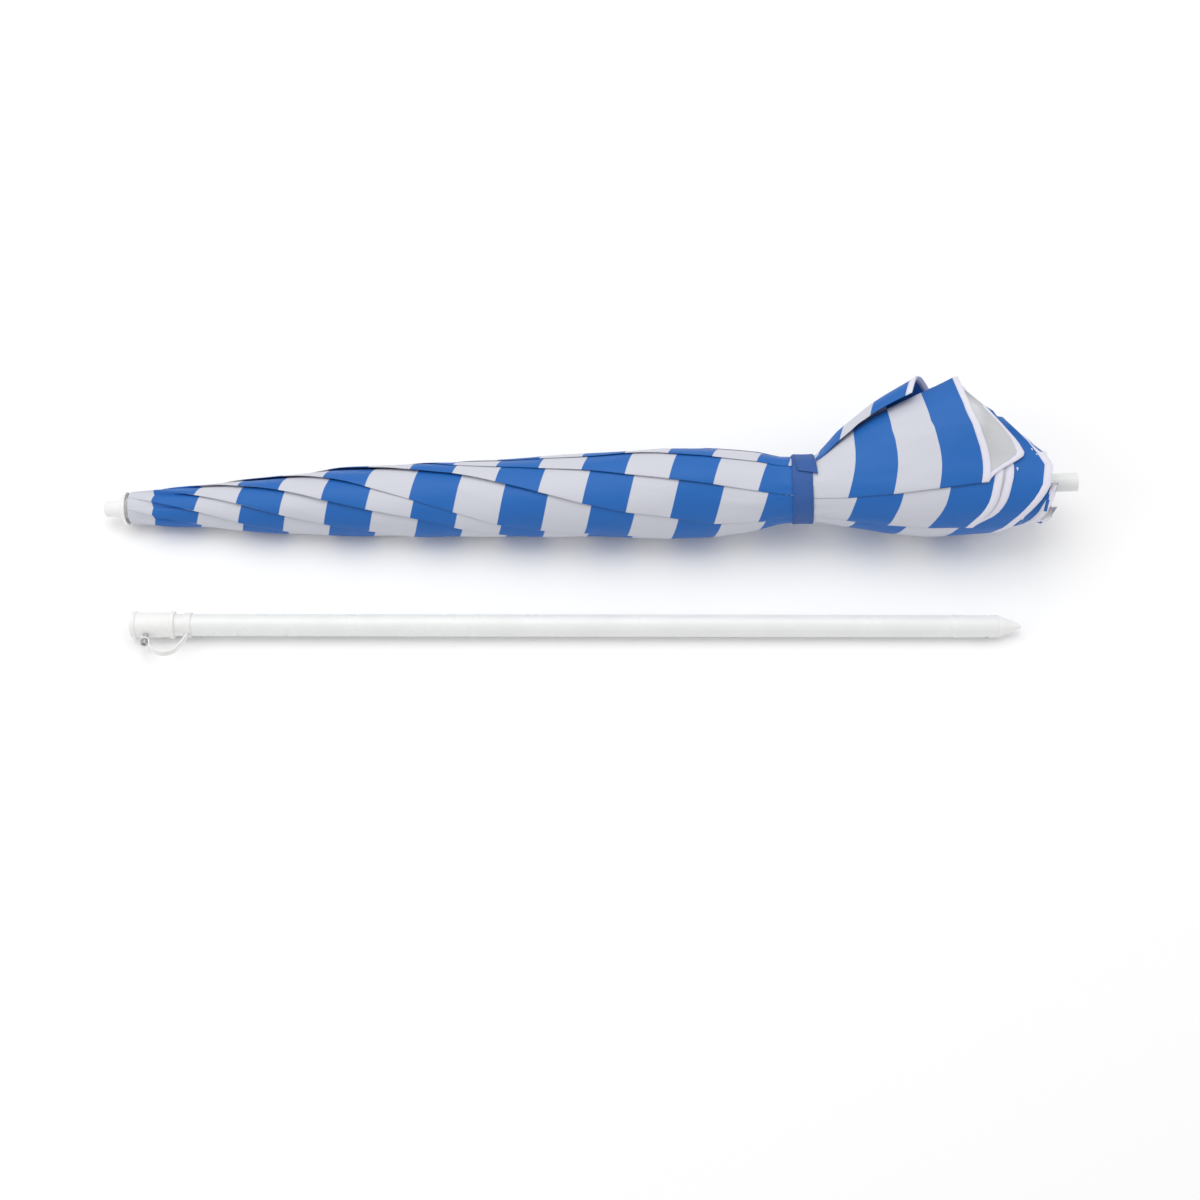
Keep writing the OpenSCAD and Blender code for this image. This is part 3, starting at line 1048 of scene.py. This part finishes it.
@dataclass
class StrapMesh:
    """The strap's points and faces, gathered slab by slab and thread by thread."""

    points: list[tuple[float, float, float]] = field(default_factory=list)
    faces: list[tuple[int, ...]] = field(default_factory=list)
    uvs: list[tuple[float, float]] = field(default_factory=list)
    kinds: list[int] = field(default_factory=list)

    def slab(self, grid: np.ndarray, closed: bool, thick: float) -> None:
        """Adds a grid as a thin closed slab of cloth.

        Args:
            grid: rows by columns of points in the pole's frame.
            closed: whether its columns close into a ring.
            thick: how thick it is, in millimetres.
        """
        columns, offset = grid.shape[1], len(self.points)
        radial = grid.copy()
        radial[..., 0] = 0
        radial /= np.linalg.norm(radial, axis=-1, keepdims=True)
        both = np.concatenate((grid, (grid - radial * thick)[::-1]), 0)
        rows = both.shape[0]
        self.points += [tuple(p) for p in both.reshape(-1, 3)]
        self.uvs += [(j * 1.5 * MM, i * 4 * MM) for i in range(rows) for j in range(columns)]
        before = len(self.faces)
        for i in range(rows):
            for j in range(columns if closed else columns - 1):
                k, b = (j + 1) % columns, (i + 1) % rows
                self.faces.append((offset + i * columns + j, offset + i * columns + k,
                                   offset + b * columns + k, offset + b * columns + j))
        if not closed:
            ends = [[offset + i * columns + j for i in range(rows)] for j in (0, columns - 1)]
            self.faces += [tuple(ends[0]), tuple(ends[1][::-1])]
        self.kinds += [0] * (len(self.faces) - before)

    def thread(self, places: list[tuple[float, float, float]], half_width: float, depth: float) -> None:
        """Adds a short three-sided thread.

        Args:
            places: distance along the pole, radius and azimuth in radians of its four sections.
            half_width: half its width, in millimetres.
            depth: how deep it is, in millimetres.
        """
        offset = len(self.points)
        for k, (u, r, a) in enumerate(places):
            for side, down in ((-half_width, 0.0), (half_width, 0.0), (0.0, -depth)):
                self.points.append((u + side, (r + down) * math.cos(a), (r + down) * math.sin(a)))
                self.uvs.append((k * 0.0005, side * MM))
        before = len(self.faces)
        for k in range(3):
            for j in range(3):
                a, b = offset + 3 * k + j, offset + 3 * k + (j + 1) % 3
                self.faces.append((a, a + 3, b + 3, b))
        self.faces += [(offset, offset + 1, offset + 2), (offset + 11, offset + 10, offset + 9)]
        self.kinds += [1] * (len(self.faces) - before)


@dataclass
class TieStrap:
    """The blue strap round the folded cloth, with its pointed loose end and its stitching."""

    start: float = 666.0
    width: float = 20.0
    radius: float = 33.9
    length: float = 213.0
    thickness: float = 0.9
    columns: int = 144
    rib_azimuth: float = 79.0
    open_place: float = 640.0
    open_gap: float = 5.0
    end_from: float = -28.0
    end_to: float = 92.0
    end_lift: float = 1.1
    end_slant: float = 5.0
    end_columns: int = 60
    stitches: int = 150
    frayed: int = 9

    def ripple(self, a: np.ndarray | float, w: float) -> np.ndarray | float:
        """Change of radius at azimuth a in radians, at share w of the width."""
        return 0.28 * np.sin(a * 5 + w * 2) + 0.18 * np.sin(a * 11)

    def sway(self, a: np.ndarray | float) -> np.ndarray | float:
        """Shift along the pole at azimuth a, in radians."""
        return 0.5 * np.sin(a * 2 + 1)

    def ribbon(self, first: float, last: float, lift: float, slant: float, columns: int) -> np.ndarray:
        """Points of a band round the pole.

        Args:
            first: azimuth where it starts, in degrees.
            last: azimuth where it ends.
            lift: how far it lies over the band below, in millimetres.
            slant: how far its end runs off along the pole.
            columns: points round it.

        Returns:
            Rows by columns of points in the pole's frame.
        """
        a = np.radians(np.linspace(first, last, columns))
        share = np.linspace(0, 1, columns)
        rows = []
        for w, edge in ((0.0, 0.25), (0.06, 0.0), (0.5, 0.12), (0.94, 0.0), (1.0, 0.25)):
            r = self.radius + lift - edge + self.ripple(a, w)
            u = self.start + w * self.width + slant * share ** 2 + self.sway(a)
            rows.append(np.stack((u, r * np.cos(a), r * np.sin(a)), -1))
        return np.stack(rows, 0)

    def loose_end(self) -> np.ndarray:
        """The end that laps over the band, cut to a slant.

        Returns:
            Rows by columns of points in the pole's frame.
        """
        tab = self.ribbon(self.end_from, self.end_to, self.end_lift, self.end_slant, self.end_columns)
        bend = np.clip((np.linspace(0, 1, self.end_columns) - 0.86) / 0.14, 0, 1)
        for row, share in zip(tab, np.linspace(0, 1, len(tab))):
            angle = np.radians(9.0 * bend * (share - 0.35))
            y, z = row[:, 1].copy(), row[:, 2].copy()
            row[:, 1] = y * np.cos(angle) - z * np.sin(angle)
            row[:, 2] = y * np.sin(angle) + z * np.cos(angle)
        return tab

    def stitch(self, azimuth: float, w: float) -> list[tuple[float, float, float]]:
        """Sections of one raised thread stitch.

        Args:
            azimuth: where the stitch is, in degrees.
            w: share of the strap's width.

        Returns:
            Distance along the pole, radius and azimuth of each section.
        """
        along_end = (azimuth + 180) % 360 - 180 - self.end_from
        over = 0 <= along_end <= 116
        share = along_end / (self.end_to - self.end_from)
        places = []
        for k, lift in enumerate((-0.25, 0.2, 0.2, -0.25)):
            a = math.radians(azimuth + 0.55 * k)
            r = self.radius + lift + (self.end_lift if over else 0.0) + self.ripple(a, w)
            u = self.start + w * self.width + (self.end_slant * share ** 2 if over else 0.0) + self.sway(a)
            places.append((u, r, a))
        return places

    def fray(self, number: int) -> list[tuple[float, float, float]]:
        """Sections of one loose thread at the strap's cut corner.

        Args:
            number: which thread.

        Returns:
            Distance along the pole, radius and azimuth of each section.
        """
        first = math.radians(62 + number * 2.1)
        return [(self.start + 1.2 - k * 0.55 - 0.3 * math.sin(number), self.radius + 1.3 + 0.35 * k,
                 first + k * 0.012 * math.sin(number * 1.9)) for k in range(4)]

    def build(self, cloth: bpy.types.Material, thread: bpy.types.Material) -> bpy.types.Object:
        """Builds band, loose end and stitches as one piece.

        Args:
            cloth: the strap's material.
            thread: the stitches' material.

        Returns:
            The piece.
        """
        mesh = StrapMesh()
        mesh.slab(self.ribbon(0, 360 - 360 / self.columns, 0.0, 0.0, self.columns), True, self.thickness)
        mesh.slab(self.loose_end(), False, 0.8)
        for w in (0.11, 0.89):
            for number in range(self.stitches):
                mesh.thread(self.stitch(number * 360 / self.stitches, w), 0.25, 0.3)
        for number in range(self.frayed):
            mesh.thread(self.fray(number), 0.12, 0.2)
        points = np.array(mesh.points)
        piece = mesh_object("tie_strap_band", UPPER.world(points), mesh.faces, [cloth, thread],
                            np.array(mesh.uvs))
        piece.data.polygons.foreach_set("material_index", np.array(mesh.kinds, np.int32))
        OpenFollower.attach(piece, UPPER.world(self.hanging(points)))
        return piece

    def hanging(self, points: np.ndarray) -> np.ndarray:
        """The strap's open place: unwound and lying along a rib's seam, inside the cloth.

        Args:
            points: its folded points in the pole's frame.

        Returns:
            The open points in the pole's frame.
        """
        a = np.degrees(np.arctan2(points[:, 2], points[:, 1])) % 360
        r = np.hypot(points[:, 1], points[:, 2])
        s = self.open_place + a / 360 * self.length
        below = self.open_gap - (r - self.radius)
        w = points[:, 0] - self.start - self.width / 2
        rad = math.radians(self.rib_azimuth)
        radial = PIVOT_OUT + s * math.sin(OPEN_ANGLE) - below * math.cos(OPEN_ANGLE)
        out = np.zeros((len(a), 3))
        out[:, 0] = PIVOT_ALONG + s * math.cos(OPEN_ANGLE) + below * math.sin(OPEN_ANGLE)
        out[:, 1] = radial * math.cos(rad) - w * math.sin(rad)
        out[:, 2] = radial * math.sin(rad) + w * math.cos(rad)
        return out


# ---------------------------------------------------------------- the hard parts


@dataclass
class HardParts:
    """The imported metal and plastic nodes, dressed in their finishes."""

    paint: MouldedFinish = MouldedFinish(
        "white_pole_paint", (0.86, 0.87, 0.865), (0.82, 0.83, 0.825), (0.26, 0.38),
        coat=0.25, pit_depth=0.000015, marks=30.0, pits=900.0)
    plastic: MouldedFinish = MouldedFinish(
        "white_moulding", (0.90, 0.90, 0.895), (0.86, 0.86, 0.85), (0.34, 0.46),
        pit_depth=0.00002, marks=80.0, clear=0.08)
    steel: MouldedFinish = MouldedFinish(
        "plated_steel", (0.56, 0.57, 0.59), (0.44, 0.45, 0.47), (0.24, 0.42),
        metal=1.0, pit_depth=0.00001, marks=120.0)
    pin: MouldedFinish = MouldedFinish(
        "pin_steel", (0.60, 0.60, 0.61), (0.42, 0.42, 0.43), (0.25, 0.45),
        metal=1.0, pit_depth=0.00001, marks=160.0)
    painted: tuple[str, ...] = ("upper_pole", "lower_tube")
    moulded: tuple[str, ...] = ("finial", "top_cap", "crown", "runner", "collar", "ground_spike")

    def dress(self) -> None:
        """Gives every shown CAD node its finish."""
        paint, plastic = self.paint.material(), self.plastic.material()
        steel, pin = self.steel.material(), self.pin.material()
        for name, node in frame["nodes"].items():
            if name in self.painted:
                made = paint
            elif name in self.moulded or name.startswith("rib_tip"):
                made = plastic
            elif name == "lock_pin":
                made = pin
            else:
                made = steel
            node.data.materials.clear()
            node.data.materials.append(made)
        log.info("dressed %d frame nodes", len(frame["nodes"]))


@dataclass
class PinTether:
    """The clear plastic strap that keeps the lock pin on the pole."""

    finish: MouldedFinish = MouldedFinish("clear_tether", (0.88, 0.88, 0.87), (0.82, 0.82, 0.80), (0.2, 0.34),
                                          pit_depth=0.00001, marks=200.0, clear=0.3)

    def build(self) -> bpy.types.Object:
        """Builds the strap from a copy of the frame's own shape, and hides the frame's own strap.

        Returns:
            The piece.
        """
        piece = bpy.data.objects.new("tether_strap", frame["nodes"]["pin_tether"].data.copy())
        bpy.context.scene.collection.objects.link(piece)
        bpy.ops.object.select_all(action="DESELECT")
        piece.select_set(True)
        bpy.context.view_layer.objects.active = piece
        bpy.ops.object.mode_set(mode="EDIT")
        bpy.ops.mesh.select_all(action="SELECT")
        bpy.ops.mesh.remove_doubles(threshold=0.00001)
        bpy.ops.object.mode_set(mode="OBJECT")
        bpy.ops.object.shade_smooth_by_angle(angle=math.radians(35))
        piece.data.materials.clear()
        piece.data.materials.append(self.finish.material())
        start, end = LOWER.world(np.array(((47.0, 0, 0), (21.0, 0, 0))))
        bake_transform(piece)
        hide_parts("pin_tether")
        return piece


# ---------------------------------------------------------------- the set


@dataclass
class Studio:
    """Pale floor, soft lights and the camera."""

    target: tuple[float, float, float] = (0.0145, -0.0625, 0.0)
    distance: float = 1.8
    elevation: float = 60.0
    lens: float = 54.6
    floor_size: float = 24.0
    floor_drop: float = 0.9

    def floor(self) -> None:
        """A wide plain floor that drops away while the canopy is open."""
        white = (0.98, 0.98, 0.98)
        finish = MouldedFinish("studio_floor", white, white, (0.85, 0.9), pit_depth=0.0)
        bpy.ops.object.select_all(action="DESELECT")
        bpy.ops.mesh.primitive_plane_add(size=self.floor_size, location=(0.0, 0.0, 0.0))
        piece = bpy.context.object
        piece.name = "floor"
        piece.data.materials.append(finish.material())
        corners = np.array([corner.co for corner in piece.data.vertices])
        OpenFollower.attach(piece, corners - np.array((0.0, 0.0, self.floor_drop)))

    def light(self, name: str, place: tuple[float, float, float], size: float, power: float) -> None:
        """Adds one soft area light aimed at the umbrella.

        Args:
            name: its name.
            place: where it hangs, in metres.
            size: its width, in metres.
            power: its power, in watts.
        """
        data = bpy.data.lights.new(name, "AREA")
        data.shape, data.size, data.energy = "SQUARE", size, power
        made = bpy.data.objects.new(name, data)
        made.location = place
        made.rotation_euler = (Vector(self.target) - Vector(place)).to_track_quat("-Z", "Y").to_euler()
        bpy.context.scene.collection.objects.link(made)

    def surroundings(self) -> None:
        """Lights the set evenly from all round, and keeps white white."""
        world = bpy.data.worlds.new("studio_world")
        bpy.context.scene.world = world
        world.use_nodes = True
        back = world.node_tree.nodes["Background"]
        back.inputs["Color"].default_value = (1.0, 1.0, 1.0, 1.0)
        back.inputs["Strength"].default_value = 0.64
        bpy.context.scene.view_settings.view_transform = "Standard"

    def camera(self) -> None:
        """Looks down on the umbrella from the front."""
        data = bpy.data.cameras.new("camera")
        data.sensor_width, data.lens = 36.0, self.lens
        made = bpy.data.objects.new("camera", data)
        tilt = math.radians(self.elevation)
        made.location = Vector(self.target) + self.distance * Vector((0, -math.cos(tilt), math.sin(tilt)))
        made.rotation_euler = (math.radians(90 - self.elevation), 0, 0)
        bpy.context.scene.collection.objects.link(made)
        bpy.context.scene.camera = made

    def build(self) -> None:
        """Builds floor, lights, world and camera."""
        self.floor()
        self.light("overhead_softbox", (-0.3, 0.7, 2.6), 2.4, 31.0)
        self.light("left_softbox", (-2.2, -0.6, 1.9), 1.6, 10.0)
        self.light("right_softbox", (2.3, 0.2, 1.7), 1.6, 7.0)
        self.surroundings()
        self.camera()


def build_canopy() -> None:
    canopy = Canopy()
    printed = StripedCloth().material()
    reverse = PlainCloth("silver_coating", (0.50, 0.51, 0.53), (0.60, 0.61, 0.63), (0.42, 0.32),
                         sheen=0.0, metal=0.35)
    binding = PlainCloth("binding_tape", (0.72, 0.71, 0.82), (0.80, 0.79, 0.88), (0.75, 0.6),
                         threads=4200.0, depth=0.00012)
    strap_cloth = PlainCloth("strap_cloth", (0.018, 0.085, 0.31), (0.025, 0.105, 0.36), (0.7, 0.6),
                             threads=6000.0, sheen=0.03)
    thread = PlainCloth("strap_thread", (0.02, 0.075, 0.27), (0.03, 0.1, 0.33), (0.6, 0.5), threads=20000.0)
    cloth, folded, opened = canopy.build([printed, reverse.material()])
    tape = HemTape().build(canopy, (folded, opened), binding.material())
    strap = TieStrap().build(strap_cloth.material(), thread.material())
    for piece, name in ((cloth, "canopy_cloth"), (tape, "canopy_cloth"), (strap, "strap_cloth")):
        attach(piece, "mast")
        log.info("%s: %d faces", piece.name, len(piece.data.polygons))
    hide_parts("canopy")
    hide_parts("tie_strap")


def main() -> None:
    """Builds the looks in order."""
    logging.basicConfig(level=logging.INFO, format="%(message)s")
    HardParts().dress()
    build_canopy()
    tether = PinTether().build()
    log.info("%s: %d faces", tether.name, len(tether.data.polygons))
    Studio().build()
    bpy.context.view_layer.update()


if __name__ == "__main__":
    main()
